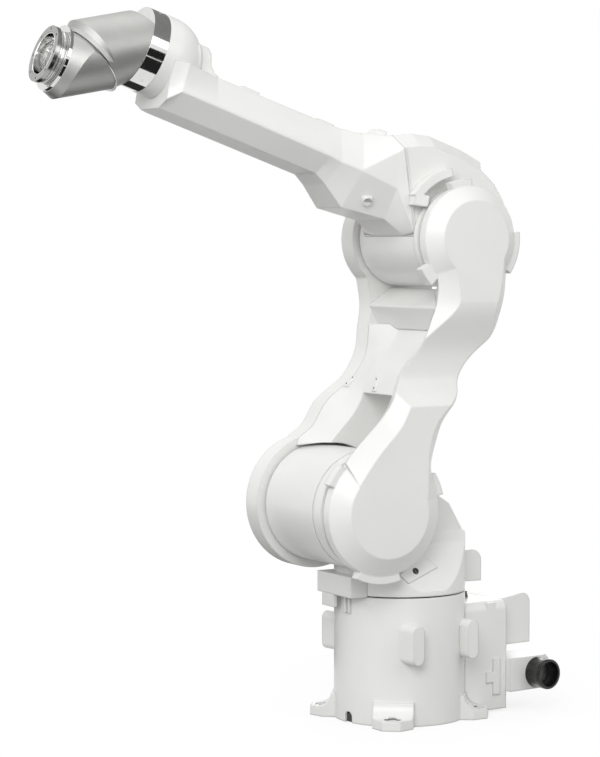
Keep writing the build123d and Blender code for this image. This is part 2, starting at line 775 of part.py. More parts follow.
with BuildPart() as forearm_casing:
    for s, h, angle, half in forearm_rings:
        with BuildSketch(axis_plane(s, h, angle)):
            Polygon(*[(-y, v) for y, v in half], *reversed(half), align=None)
    loft(ruled=True)
    add(wrist_dome.part, mode=Mode.SUBTRACT)
    add(elbow_drum.part, mode=Mode.SUBTRACT)
    add(elbow_housing.part, mode=Mode.SUBTRACT)

forearm_casing.part.label = "forearm_casing"
export_step(forearm_casing.part, "parts/forearm_casing.step")

# Motor block behind the dome
with BuildPart() as dome_rear_block:
    with BuildSketch(elbow_plane(dome_block_w / 2)):
        Polygon((602, forearm_top), (603, 135), (614, 139), (624, 149), (632, 172), (642, 181), (672, 181),
                (672, forearm_top), align=None)
    extrude(amount=dome_block_w)
    add(wrist_dome.part, mode=Mode.SUBTRACT)
    add(forearm_casing.part, mode=Mode.SUBTRACT)

dome_rear_block.part.label = "dome_rear_block"
export_step(dome_rear_block.part, "parts/dome_rear_block.step")

# Cable bracket on top, where the forearm leaves the elbow housing
with BuildPart() as top_bracket:
    with BuildSketch(elbow_plane(bracket_w / 2)):
        Polygon((186, 150), (188, 172), (208, 171), (213, 161), (244, 149), (244, 136), align=None)
    extrude(amount=bracket_w)
    add(elbow_housing.part, mode=Mode.SUBTRACT)
    add(forearm_casing.part, mode=Mode.SUBTRACT)

top_bracket.part.label = "top_bracket"
export_step(top_bracket.part, "parts/top_bracket.step")

# Two low lids on top of the forearm
with BuildPart() as forearm_top_lids:
    with BuildSketch(elbow_plane(forearm_top_w - 8)):
        with Locations(*[(s, forearm_top + lid_h / 2 - 4) for s in lid_places]):
            Rectangle(lid_len, lid_h + 8)
    extrude(amount=2 * forearm_top_w - 16)
    add(forearm_casing.part, mode=Mode.SUBTRACT)

forearm_top_lids.part.label = "forearm_top_lids"
export_step(forearm_top_lids.part, "parts/forearm_top_lids.step")

# Stop bracket on the left of the elbow housing, with its block at the lower end
with BuildPart() as elbow_stop_bracket:
    with BuildSketch(elbow_plane(housing_half_w + stop_arc_w)):
        Polygon(*[on_circle(0, 0, stop_arc_r + stop_arc_h, a) for a in range(18, 66, 6)],
                *[on_circle(0, 0, stop_arc_r, a) for a in range(60, 12, -6)], align=None)
        with Locations(on_circle(0, 0, stop_arc_r - 4, 19)):
            Rectangle(34, 24, rotation=-12)
    extrude(amount=stop_arc_w)
    add(elbow_housing.part, mode=Mode.SUBTRACT)

elbow_stop_bracket.part.label = "elbow_stop_bracket"
export_step(elbow_stop_bracket.part, "parts/elbow_stop_bracket.step")

# Polished drive ring at the wrist
with BuildPart() as drive_ring:
    with BuildSketch(axis_plane(ring_start, roll_axis_h, 0)):
        Circle(ring_r)
    extrude(amount=ring_len)

drive_ring.part.label = "drive_ring"
export_step(drive_ring.part, "parts/drive_ring.step")

# Wrist axes: the bend axis leans 60 degrees down from the roll axis and meets it,
# and the flange axis runs parallel to the roll axis at the other end of the bend offset
bend_angle = -60.0
middle_angle = bend_angle / 2
ring_end = ring_start + ring_len
bend_s = cos(radians(bend_angle))
bend_h = sin(radians(bend_angle))
flange_axis_s = axis_cross_s + bend_offset * bend_s
flange_axis_h = roll_axis_h + bend_offset * bend_h
middle_s = (axis_cross_s + flange_axis_s) / 2
middle_h = (roll_axis_h + flange_axis_h) / 2
seam_s = middle_s + seam_past_middle * bend_s
seam_h = middle_h + seam_past_middle * bend_h
tube_plane = axis_plane(middle_s - 250 * cos(radians(middle_angle)),
                        middle_h - 250 * sin(radians(middle_angle)), middle_angle)
seam_plane = axis_plane(seam_s, seam_h, bend_angle)
flange_plane = axis_plane(flange_face, flange_axis_h, 0)

# Roll housing, from the round drive ring to the oval section at the bend seam
tube_lean = radians(middle_angle - bend_angle)
tube_seam_up = seam_past_middle * tan(tube_lean)
cone_len = 120.0
cone_r = seam_r + cone_len * tan(radians(seam_taper))
seam_axis_plane = elbow_plane(0)
seam_tilt = radians(bend_angle)


def seam_point(r, back):
    """Point at a radius from the bend axis and a distance behind the seam, in arm coordinates."""
    return (seam_s - back * cos(seam_tilt) - r * sin(seam_tilt),
            seam_h - back * sin(seam_tilt) + r * cos(seam_tilt))


with BuildPart() as roll_housing:
    with BuildSketch(axis_plane(ring_end, roll_axis_h, 0)):
        Circle(ring_r - 1)
    with BuildSketch(seam_plane):
        with Locations((0, tube_seam_up)):
            Ellipse(tube_side_r, tube_in_r / cos(tube_lean))
    loft(ruled=True)
    with BuildSketch(seam_axis_plane):
        Polygon(seam_point(0, 0), seam_point(seam_r, 0), seam_point(seam_r, seam_collar),
                seam_point(cone_r, seam_collar + cone_len), seam_point(0, seam_collar + cone_len), align=None)
    revolve(axis=Axis(arm_point(seam_s, seam_h), tuple(seam_plane.z_dir)), mode=Mode.INTERSECT)

roll_housing.part.label = "roll_housing"
export_step(roll_housing.part, "parts/roll_housing.step")

# Seam ring between the roll and bend housings
with BuildPart() as seam_ring:
    with BuildSketch(seam_plane.offset(face_gap)):
        Circle(seam_r - 4)
    extrude(amount=seam_gap)

seam_ring.part.label = "seam_ring"
export_step(seam_ring.part, "parts/seam_ring.step")

# Bend housing: the tube's other half, turned down to the neck around the flange axis
with BuildPart() as bend_housing:
    with BuildSketch(tube_plane):
        Ellipse(tube_side_r, tube_in_r)
    extrude(amount=500)
    split(bisect_by=axis_plane(neck_end, flange_axis_h, 0), keep=Keep.BOTTOM)
    split(bisect_by=seam_plane.offset(face_gap + seam_gap), keep=Keep.TOP)
    with BuildSketch(seam_plane.offset(face_gap + seam_gap)):
        Circle(seam_r)
    extrude(amount=160, taper=-40, mode=Mode.INTERSECT)
    with BuildSketch(axis_plane(neck_end, flange_axis_h, 0)):
        Circle(neck_ring_r + 1)
    extrude(amount=-200, taper=-neck_taper, mode=Mode.INTERSECT)
    with BuildSketch(axis_plane(neck_end, flange_axis_h, 0)):
        Circle(flange_bore_r + neck_wall)
    extrude(amount=-(wrist_bore_depth - (flange_face - neck_end)), mode=Mode.SUBTRACT)

bend_housing.part.label = "bend_housing"
export_step(bend_housing.part, "parts/bend_housing.step")

# Polished ring at the neck
with BuildPart() as neck_ring:
    with BuildSketch(axis_plane(neck_end, flange_axis_h, 0)):
        Circle(neck_ring_r)
        Circle(flange_bore_r + neck_wall, mode=Mode.SUBTRACT)
    extrude(amount=neck_ring_len)

neck_ring.part.label = "neck_ring"
export_step(neck_ring.part, "parts/neck_ring.step")

# Tool flange with its bolt circle around the open bore
with BuildPart() as tool_flange:
    with BuildSketch(axis_plane(neck_end + neck_ring_len + face_gap, flange_axis_h, 0)):
        Circle(flange_body_r)
    extrude(amount=flange_face - neck_end - neck_ring_len - face_gap)
    with BuildSketch(flange_plane):
        Circle(flange_r)
    extrude(amount=-flange_plate)
    with BuildSketch(flange_plane):
        Circle(flange_bore_r)
    extrude(amount=-(flange_face - neck_end), mode=Mode.SUBTRACT)
    with BuildSketch(flange_plane):
        with PolarLocations(flange_pcr, flange_holes):
            Circle(flange_hole_r)
    extrude(amount=-flange_plate, mode=Mode.SUBTRACT)

tool_flange.part.label = "tool_flange"
export_step(tool_flange.part, "parts/tool_flange.step")
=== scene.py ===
"""Dressed model of a white six-axis robot arm with a hollow, satin metal wrist.

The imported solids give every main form. This script adds the small hardware,
the finishes, the floor, the soft studio light and the camera.
Every length is in metres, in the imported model's own frame.
"""

import json
import logging
from dataclasses import dataclass
from enum import Enum
from functools import cached_property
from math import cos, pi, radians, sin
from typing import Any, Dict, List, Optional, Sequence, Tuple

import bmesh
import bpy
from mathutils import Euler, Matrix, Vector


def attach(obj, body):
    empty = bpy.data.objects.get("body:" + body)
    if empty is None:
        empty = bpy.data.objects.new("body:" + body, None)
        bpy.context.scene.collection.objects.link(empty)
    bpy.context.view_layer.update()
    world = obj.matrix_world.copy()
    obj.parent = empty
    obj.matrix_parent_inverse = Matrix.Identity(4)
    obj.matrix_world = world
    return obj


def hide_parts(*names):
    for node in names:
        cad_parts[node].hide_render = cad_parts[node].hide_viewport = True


LOG = logging.getLogger("robot_arm")

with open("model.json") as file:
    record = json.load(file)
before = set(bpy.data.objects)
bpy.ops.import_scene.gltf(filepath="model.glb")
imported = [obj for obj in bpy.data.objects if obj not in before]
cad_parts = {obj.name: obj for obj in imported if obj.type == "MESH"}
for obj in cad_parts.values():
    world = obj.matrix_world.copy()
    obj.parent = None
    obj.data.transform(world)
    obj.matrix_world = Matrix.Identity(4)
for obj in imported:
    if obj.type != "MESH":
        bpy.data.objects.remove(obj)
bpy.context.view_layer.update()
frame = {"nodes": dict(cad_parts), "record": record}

Pair = Tuple[float, float]
Triple = Tuple[float, float, float]
Rgb = Triple
Profile = Sequence[Pair]

ARM_RISE = radians(19.3)
BASE_TURN = radians(9.0)
SHOULDER_XZ: Pair = (0.131, 0.455)
ELBOW_XZ: Pair = (-0.0765, 1.019)

AHEAD = Vector((1.0, 0.0, 0.0))
NEAR = Vector((0.0, 1.0, 0.0))
UP = Vector((0.0, 0.0, 1.0))

# Edges sharper than this are shaded crisp, and points nearer than this are merged.
CRISP_ANGLE = radians(35.0)
MERGE_GAP = 1e-6
WHITE = (1.0, 1.0, 1.0, 1.0)


class Carrier(Enum):
    """The bodies that the added pieces ride on."""

    BASE = "base"
    SWIVEL = "swivel"
    LOWER_ARM = "lower_arm"
    UPPER_ARM = "upper_arm"
    WRIST_ROLL = "wrist_roll"
    WRIST_BEND = "wrist_bend"
    TOOL_PLATE = "tool_plate"


class Slot(Enum):
    """The record's material slots."""

    PAINT = "white_paint"
    SATIN = "satin_metal"
    POLISHED = "polished_metal"
    DARK = "dark_steel"
    BLACK = "black_plastic"


def arm_frame(s: float, h: float, y: float = 0.0) -> Matrix:
    """Frame on the upper arm, its z axis along the arm's line.

    Args:
        s: distance from the elbow along the arm's line.
        h: height above the arm's line.
        y: place across the arm.

    Returns:
        The frame as a matrix, its x axis across the arm and its y axis upwards.
    """
    run, rise = cos(ARM_RISE), sin(ARM_RISE)
    elbow = Vector((ELBOW_XZ[0], 0.0, ELBOW_XZ[1]))
    place = elbow + Vector((s * run - h * rise, y, s * rise + h * run))
    return axes_frame(place, NEAR, Vector((run, 0.0, rise)))


def base_frame(x: float, y: float, z: float) -> Matrix:
    """Frame on the base, turned as the base is turned, its z axis up."""
    return Matrix.Rotation(BASE_TURN, 4, "Z") @ Matrix.Translation((x, y, z))


def axes_frame(place: Vector, across: Vector, along: Vector) -> Matrix:
    """Frame at a place from its x and z axes.

    Args:
        place: the frame's origin.
        across: its x axis, which is made square to along.
        along: its z axis.

    Returns:
        The frame as a matrix.
    """
    z = along.normalized()
    x = (across - z * across.dot(z)).normalized()
    y = z.cross(x)
    turned = Matrix((x, y, z)).transposed().to_4x4()
    return Matrix.Translation(place) @ turned


def facing(place: Triple, aim: Triple, axis: str) -> Euler:
    """The turn that points one axis of an object at its place towards an aim."""
    return (Vector(aim) - Vector(place)).to_track_quat(axis, "Y").to_euler()


def put(name: str, data: Any) -> bpy.types.Object:
    """Makes an object in the scene from a mesh, a lamp or a camera.

    Args:
        name: the object's name.
        data: what it shows.

    Returns:
        The object, at the origin.
    """
    made = bpy.data.objects.new(name, data)
    bpy.context.scene.collection.objects.link(made)
    return made


def flat_mesh(name: str, half: float, stretch: Triple = (1.0, 1.0, 1.0)) -> bpy.types.Mesh:
    """A flat square mesh that faces up, stretched along its axes.

    Args:
        name: the mesh's name.
        half: half the square's side.
        stretch: how much longer it gets along each axis.

    Returns:
        The mesh, centred on the origin.
    """
    shape = bmesh.new()
    bmesh.ops.create_grid(shape, x_segments=1, y_segments=1, size=half)
    bmesh.ops.scale(shape, vec=stretch, verts=shape.verts)
    data = bpy.data.meshes.new(name)
    shape.to_mesh(data)
    shape.free()
    return data


class Field:
    """A socket of a material's node tree on which Python operators do sums."""

    def __init__(self, web: "NodeWeb", socket: Any) -> None:
        """Keeps the socket and the web that its sums are added to."""
        self.web = web
        self.socket = socket

    def sum_with(self, operation: str, other: Any) -> "Field":
        """The result of a Math node that takes this field first."""
        return self.web.maths(operation, self, other)

    def __add__(self, other: Any) -> "Field":
        """Sum."""
        return self.sum_with("ADD", other)

    def __radd__(self, other: Any) -> "Field":
        """Sum with a number on the left."""
        return self.sum_with("ADD", other)

    def __mul__(self, other: Any) -> "Field":
        """Product."""
        return self.sum_with("MULTIPLY", other)

    def __rmul__(self, other: Any) -> "Field":
        """Product with a number on the left."""
        return self.sum_with("MULTIPLY", other)

    def __sub__(self, other: Any) -> "Field":
        """Difference."""
        return self.sum_with("SUBTRACT", other)

    def __rsub__(self, other: Any) -> "Field":
        """Difference from a number on the left."""
        return self.web.maths("SUBTRACT", other, self)


class NodeWeb:
    """The node tree of one material or world."""

    def __init__(self, owner: Any) -> None:
        """Starts an empty tree.

        Args:
            owner: the material or the world that it belongs to.
        """
        self.owner = owner
        owner.use_nodes = True
        self.tree = owner.node_tree
        self.tree.nodes.clear()

    @classmethod
    def material(cls, name: str) -> "NodeWeb":
        """A web in a new material of that name."""
        return cls(bpy.data.materials.new(name))

    @cached_property
    def place(self) -> Any:
        """Socket of the place on the object, made when it is first asked for."""
        return self.add("ShaderNodeTexCoord").outputs["Object"]

    @cached_property
    def seen(self) -> Field:
        """What tells the eye's rays from the light on its way to something else.

        Returns:
            1 for what is seen straight, mirrored or through glass, and 0 for the rest.
        """
        rays = self.add("ShaderNodeLightPath").outputs
        mirrored = self.maths("MAXIMUM", rays["Is Camera Ray"], rays["Is Glossy Ray"])
        return self.maths("MAXIMUM", mirrored, rays["Is Transmission Ray"])

    def add(self, kind: str, settings: Optional[Dict[str, Any]] = None,
            values: Optional[Dict[Any, Any]] = None) -> Any:
        """Adds one node.

        Args:
            kind: the node's type.
            settings: its own settings, set first.
            values: numbers, colours or links for its sockets, by name or place.

        Returns:
            The node.
        """
        node = self.tree.nodes.new(kind)
        for key, value in (settings or {}).items():
            setattr(node, key, value)
        for key, value in (values or {}).items():
            self.fill(node.inputs[key], value)
        return node

    def fill(self, socket: Any, value: Any) -> None:
        """Links something to a socket, or sets the socket's own value.

        Args:
            socket: the socket.
            value: a field or a socket to link, or else a number or a colour.
        """
        if isinstance(value, Field):
            value = value.socket
        if isinstance(value, bpy.types.NodeSocket):
            self.tree.links.new(value, socket)
        else:
            socket.default_value = value

    def maths(self, operation: str, *terms: Any) -> Field:
        """One Math node on numbers and fields."""
        node = self.add("ShaderNodeMath", {"operation": operation}, dict(enumerate(terms)))
        return Field(self, node.outputs[0])

    def noise(self, scale: float, detail: float = 2.0, stretch: Triple = (1.0, 1.0, 1.0),
              turn: float = 0.0) -> Field:
        """Noise over the object, from 0 to 1.

        Args:
            scale: how many lumps there are in a metre.
            detail: how many finer layers it has.
            stretch: the scale along each axis, for a grain.
            turn: turn of the grain about the y axis, in radians.

        Returns:
            The noise as a field.
        """
        mapping = self.add("ShaderNodeMapping", None,
                           {"Vector": self.place, "Scale": stretch, "Rotation": (0.0, turn, 0.0)})
        node = self.add("ShaderNodeTexNoise", None,
                        {"Vector": mapping.outputs[0], "Scale": scale, "Detail": detail})
        return Field(self, node.outputs[0])

    def ramp(self, factor: Field, low: float, high: float) -> Field:
        """A field brought to 0 at low and 1 at high, and held outside them."""
        node = self.add("ShaderNodeMapRange", {"clamp": True},
                        {"Value": factor, "From Min": low, "From Max": high})
        return Field(self, node.outputs[0])

    def blend(self, factor: Field, one: Any, other: Rgb) -> Any:
        """Mixes two colours.

        Args:
            factor: 0 for the first colour and 1 for the other.
            one: the first colour, or a socket that carries it.
            other: the other colour.

        Returns:
            The mixed colour's socket.
        """
        node = self.add("ShaderNodeMix", {"data_type": "RGBA"}, {"Factor": factor})
        for socket, value in ((node.inputs[6], one), (node.inputs[7], other)):
            self.fill(socket, (*value, 1.0) if isinstance(value, tuple) else value)
        return node.outputs[2]

    def relief(self, height: Field, depth: float, strength: float, soften: float) -> Any:
        """A bump over edges that are rounded off in shading.

        Args:
            height: the relief from 0 to 1.
            depth: its depth in metres.
            strength: how strongly it shows.
            soften: radius of the rounded edges in metres.

        Returns:
            The normal's socket.
        """
        rounded = self.add("ShaderNodeBevel", {"samples": 6}, {"Radius": soften})
        bump = self.add("ShaderNodeBump", None,
                        {"Height": height, "Distance": depth, "Strength": strength,
                         "Normal": rounded.outputs[0]})
        return bump.outputs[0]

    def glow(self, level: float) -> Any:
        """A shader that gives off white light, and shows white at a level of 1."""
        return self.add("ShaderNodeEmission", None, {"Color": WHITE, "Strength": level})

    def surface(self, values: Dict[str, Any]) -> bpy.types.Material:
        """Ends the tree in one Principled shader and returns the material."""
        return self.end(self.add("ShaderNodeBsdfPrincipled", None, values))

    def end(self, shader: Any, kind: str = "ShaderNodeOutputMaterial") -> Any:
        """Leads a shader node to the output and returns the tree's material or world."""
        self.add(kind, None, {"Surface": shader.outputs[0]})
        return self.owner


@dataclass(frozen=True)
class CastPaint:
    """White paint on castings: soft gloss, faint orange peel, a trace of dust.

    In every finish a scale is in lumps to the metre, an edge is the radius of the
    edges in shading, and a range is where a noise fades in.
    """

    name: str = "white_cast_paint"
    tone: Rgb = (0.80, 0.80, 0.785)
    shade: Rgb = (0.755, 0.755, 0.735)
    dust: Rgb = (0.52, 0.51, 0.48)
    gloss: float = 0.31
    specular: float = 0.45
    edge: float = 0.005
    cloud_scale: float = 5.0
    cloud_range: Pair = (0.35, 0.75)
    speck_scale: float = 900.0
    speck_range: Pair = (0.72, 0.80)
    speck_share: float = 0.10
    smear_scale: float = 38.0
    smear_share: float = 0.12
    peel_scale: float = 420.0
    peel_depth: float = 0.0004
    peel_strength: float = 0.12

    def build(self) -> bpy.types.Material:
        """Makes the material.

        Returns:
            The material, ready for a piece.
        """
        web = NodeWeb.material(self.name)
        cloud = web.ramp(web.noise(self.cloud_scale, detail=3.0), *self.cloud_range)
        speck = web.ramp(web.noise(self.speck_scale, detail=1.0), *self.speck_range)
        smear = web.noise(self.smear_scale, detail=4.0) - 0.5
        peel = web.noise(self.peel_scale)
        tone = web.blend(cloud, self.tone, self.shade)
        return web.surface({
            "Base Color": web.blend(speck * self.speck_share, tone, self.dust),
            "Roughness": self.gloss + smear * self.smear_share,
            "Normal": web.relief(peel, self.peel_depth, self.peel_strength, self.edge),
            "Specular IOR Level": self.specular,
        })


@dataclass(frozen=True)
class SatinMetal:
    """Bead-blasted aluminium, with a faint grain."""

    name: str = "satin_aluminium"
    tone: Rgb = (0.44, 0.44, 0.425)
    shade: Rgb = (0.38, 0.38, 0.37)
    gloss: float = 0.48
    edge: float = 0.0015
    grain: Triple = (1.0, 1.0, 1.0)
    cloud_scale: float = 11.0
    cloud_range: Pair = (0.3, 0.75)
    smear_scale: float = 160.0
    smear_share: float = 0.14
    blast_scale: float = 1500.0
    blast_depth: float = 0.0002
    blast_strength: float = 0.10

    def build(self) -> bpy.types.Material:
        """Makes the material.

        Returns:
            The material, ready for a piece.
        """
        web = NodeWeb.material(self.name)
        cloud = web.ramp(web.noise(self.cloud_scale, detail=3.0), *self.cloud_range)
        smear = web.noise(self.smear_scale, 3.0, self.grain, ARM_RISE) - 0.5
        blast = web.noise(self.blast_scale, 2.0, self.grain, ARM_RISE)
        return web.surface({
            "Base Color": web.blend(cloud, self.tone, self.shade),
            "Metallic": 1.0,
            "Roughness": self.gloss + smear * self.smear_share,
            "Normal": web.relief(blast, self.blast_depth, self.blast_strength, self.edge),
        })


@dataclass(frozen=True)
class PolishedMetal:
    """Ground and polished steel ring, with hairline turning marks."""

    name: str = "polished_steel"
    tone: Rgb = (0.74, 0.74, 0.73)
    shade: Rgb = (0.66, 0.66, 0.65)
    gloss: float = 0.07
    edge: float = 0.0006
    smear_scale: float = 30.0
    tone_range: Pair = (0.4, 0.8)
    dull_range: Pair = (0.45, 0.75)
    dull_share: float = 0.05
    line_scale: float = 2200.0
    line_grain: Triple = (1.0, 0.02, 0.02)
    line_depth: float = 0.00005
    line_strength: float = 0.05

    def build(self) -> bpy.types.Material:
        """Makes the material.

        Returns:
            The material, ready for a piece.
        """
        web = NodeWeb.material(self.name)
        lines = web.noise(self.line_scale, 1.0, self.line_grain, ARM_RISE)
        smear = web.noise(self.smear_scale, detail=3.0)
        tone = web.blend(web.ramp(smear, *self.tone_range), self.tone, self.shade)
        return web.surface({
            "Base Color": tone,
            "Metallic": 1.0,
            "Roughness": self.gloss + web.ramp(smear, *self.dull_range) * self.dull_share,
            "Normal": web.relief(lines, self.line_depth, self.line_strength, self.edge),
        })


@dataclass(frozen=True)
class DarkMetal:
    """Blackened or shadowed steel of screws, seams and fittings."""

    name: str = "dark_steel"
    tone: Rgb = (0.09, 0.09, 0.088)
    worn: Rgb = (0.32, 0.31, 0.30)
    gloss: float = 0.38
    metallic: float = 0.9
    edge: float = 0.0004
    wear_scale: float = 420.0
    wear_range: Pair = (0.55, 0.75)
    wear_share: float = 0.12
    grit_scale: float = 900.0
    grit_depth: float = 0.0002
    grit_strength: float = 0.15

    def build(self) -> bpy.types.Material:
        """Makes the material.

        Returns:
            The material, ready for a piece.
        """
        web = NodeWeb.material(self.name)
        wear = web.ramp(web.noise(self.wear_scale, detail=4.0), *self.wear_range)
        grit = web.noise(self.grit_scale)
        return web.surface({
            "Base Color": web.blend(wear, self.tone, self.worn),
            "Metallic": self.metallic,
            "Roughness": self.gloss + wear * self.wear_share,
            "Normal": web.relief(grit, self.grit_depth, self.grit_strength, self.edge),
        })


@dataclass(frozen=True)
class BlackPlastic:
    """Moulded black plastic and rubber with a fine spark texture."""

    name: str = "black_plastic"
    tone: Rgb = (0.006, 0.006, 0.006)
    dust: Rgb = (0.018, 0.018, 0.017)
    gloss: float = 0.24
    edge: float = 0.0012
    dust_scale: float = 60.0
    dust_range: Pair = (0.5, 0.8)
    dust_share: float = 0.2
    spark_scale: float = 1300.0
    spark_depth: float = 0.0002
    spark_strength: float = 0.2

    def build(self) -> bpy.types.Material:
        """Makes the material.

        Returns:
            The material, ready for a piece.
        """
        web = NodeWeb.material(self.name)
        dust = web.ramp(web.noise(self.dust_scale, detail=4.0), *self.dust_range)
        spark = web.noise(self.spark_scale)
        return web.surface({
            "Base Color": web.blend(dust, self.tone, self.dust),
            "Roughness": self.gloss + dust * self.dust_share,
            "Normal": web.relief(spark, self.spark_depth, self.spark_strength, self.edge),
        })


class Finishes:
    """The finished materials: one for each slot, and the turned metal of the flange."""

    def __init__(self) -> None:
        """Builds them all."""
        self.by_slot = {
            Slot.PAINT: CastPaint().build(),
            Slot.SATIN: SatinMetal().build(),
            Slot.POLISHED: PolishedMetal().build(),
            Slot.DARK: DarkMetal().build(),
            Slot.BLACK: BlackPlastic().build(),
        }
        self.turned = SatinMetal(name="turned_aluminium", tone=(0.39, 0.39, 0.38),
                                 shade=(0.32, 0.32, 0.31), gloss=0.22, edge=0.0008,
                                 grain=(1.0, 0.05, 0.05)).build()

    def of(self, slot: Slot) -> bpy.types.Material:
        """The material for a slot."""
        return self.by_slot[slot]


@dataclass(frozen=True)
class SocketScrew:
    """A socket screw's head: its radius, height and socket's radius, and the flats round it."""

    radius: float
    height: float
    socket: float
    steps: int = 24

    def outline(self) -> Profile:
        """Closed outline of the head, which sits on its frame's origin.

        Returns:
            The outline's (radius, height) points.
        """
        sunk = -self.height * 0.4
        ease = self.height * 0.18
        wall_foot = (self.socket * 0.92, self.height * 0.35)
        bottom = self.height * 0.30
        return [(0.0, sunk), (self.radius, sunk), (self.radius, self.height - ease),
                (self.radius - ease, self.height), (self.socket, self.height), wall_foot,
                (0.0, bottom)]


class Shaper:
    """Gathers bmesh shapes into one piece and hands it over finished."""

    def __init__(self, name: str, finishes: Finishes) -> None:
        """Starts an empty piece.

        Args:
            name: the piece's name.
            finishes: the set that it is dressed from.
        """
        self.name = name
        self.finishes = finishes
        self.mesh = bmesh.new()

    def take(self, shape: bmesh.types.BMesh, place: Matrix) -> "Shaper":
        """Puts a shape at its place in the piece and frees it.

        Args:
            shape: the shape, round its own origin.
            place: the frame that it is put in.

        Returns:
            The shaper.
        """
        bmesh.ops.transform(shape, matrix=place, verts=shape.verts)
        carrier = bpy.data.meshes.new("shape")
        shape.to_mesh(carrier)
        shape.free()
        self.mesh.from_mesh(carrier)
        bpy.data.meshes.remove(carrier)
        return self

    def lathe(self, profile: Profile, place: Matrix, steps: int = 64) -> "Shaper":
        """Turns an outline about a frame's z axis.

        Args:
            profile: (radius, height) points, from axis to axis, or else a closed ring's.
            place: the frame.
            steps: how many flats go round.

        Returns:
            The shaper.
        """
        shape = bmesh.new()
        points = [shape.verts.new((r, 0.0, z)) for r, z in profile]
        on_axis = profile[0][0] == 0.0 and profile[-1][0] == 0.0
        pairs = list(zip(points, points[1:])) + ([] if on_axis else [(points[-1], points[0])])
        rim = [shape.edges.new(pair) for pair in pairs]
        bmesh.ops.spin(shape, geom=points + rim, axis=(0, 0, 1), cent=(0, 0, 0), dvec=(0, 0, 0),
                       angle=2 * pi, steps=steps, use_merge=True, use_duplicate=False)
        bmesh.ops.remove_doubles(shape, verts=shape.verts, dist=MERGE_GAP)
        return self.take(shape, place)

    def screw(self, screw: SocketScrew, place: Matrix) -> "Shaper":
        """A socket screw's head on a frame's origin."""
        return self.lathe(screw.outline(), place, screw.steps)

    def block(self, size: Triple, place: Matrix, edge: float) -> "Shaper":
        """A block with rounded edges, centred on a frame's origin.

        Args:
            size: its length along each axis.
            place: the frame.
            edge: how wide the rounding is.

        Returns:
            The shaper.
        """
        shape = bmesh.new()
        bmesh.ops.create_cube(shape, size=1.0)
        bmesh.ops.scale(shape, vec=size, verts=shape.verts)
        bmesh.ops.bevel(shape, geom=shape.edges[:], offset=edge, segments=3, profile=0.5,
                        affect="EDGES", material=-1)
        return self.take(shape, place)

    def prism(self, sides: int, radius: float, height: float, place: Matrix,
              edge: float = 0.0004) -> "Shaper":
        """A many-sided bar with bevelled edges that stands on a frame's origin.

        Args:
            sides: how many sides go round.
            radius: its corners' radius.
            height: its height.
            place: the frame.
            edge: how wide the bevel is.

        Returns:
            The shaper.
        """
        shape = bmesh.new()
        bmesh.ops.create_cone(shape, cap_ends=True, segments=sides, radius1=radius,
                              radius2=radius, depth=height)
        bmesh.ops.translate(shape, vec=(0, 0, height / 2), verts=shape.verts)
        bmesh.ops.bevel(shape, geom=shape.edges[:], offset=edge, segments=2, profile=0.5,
                        affect="EDGES", material=-1)
        return self.take(shape, place)

    def hand_over(self, carrier: Carrier, slot: Slot) -> bpy.types.Object:
        """Makes the object, dresses it and lets it ride.

        Args:
            carrier: the body that it rides on.
            slot: the record's slot that it takes its finish from.

        Returns:
            The finished object, at the origin.
        """
        bmesh.ops.recalc_face_normals(self.mesh, faces=self.mesh.faces)
        for face in self.mesh.faces:
            face.smooth = True
        for edge in self.mesh.edges:
            if len(edge.link_faces) == 2 and edge.calc_face_angle(0.0) > CRISP_ANGLE:
                edge.smooth = False
        data = bpy.data.meshes.new(self.name)
        self.mesh.to_mesh(data)
        self.mesh.free()
        piece = put(self.name, data)
        data.materials.append(self.finishes.of(slot))
        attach(piece, carrier.value)
        LOG.info("piece %s: %d faces on %s", self.name, len(data.polygons), carrier.value)
        return piece


@dataclass
class Detail:
    """The small pieces of one sub-assembly, which take their finishes from one set."""

    finishes: Finishes

    def start(self, name: str) -> Shaper:
        """Starts a piece of that name."""
        return Shaper(name, self.finishes)

    def build(self) -> List[bpy.types.Object]:
        """Makes the pieces and returns them."""
        raise NotImplementedError


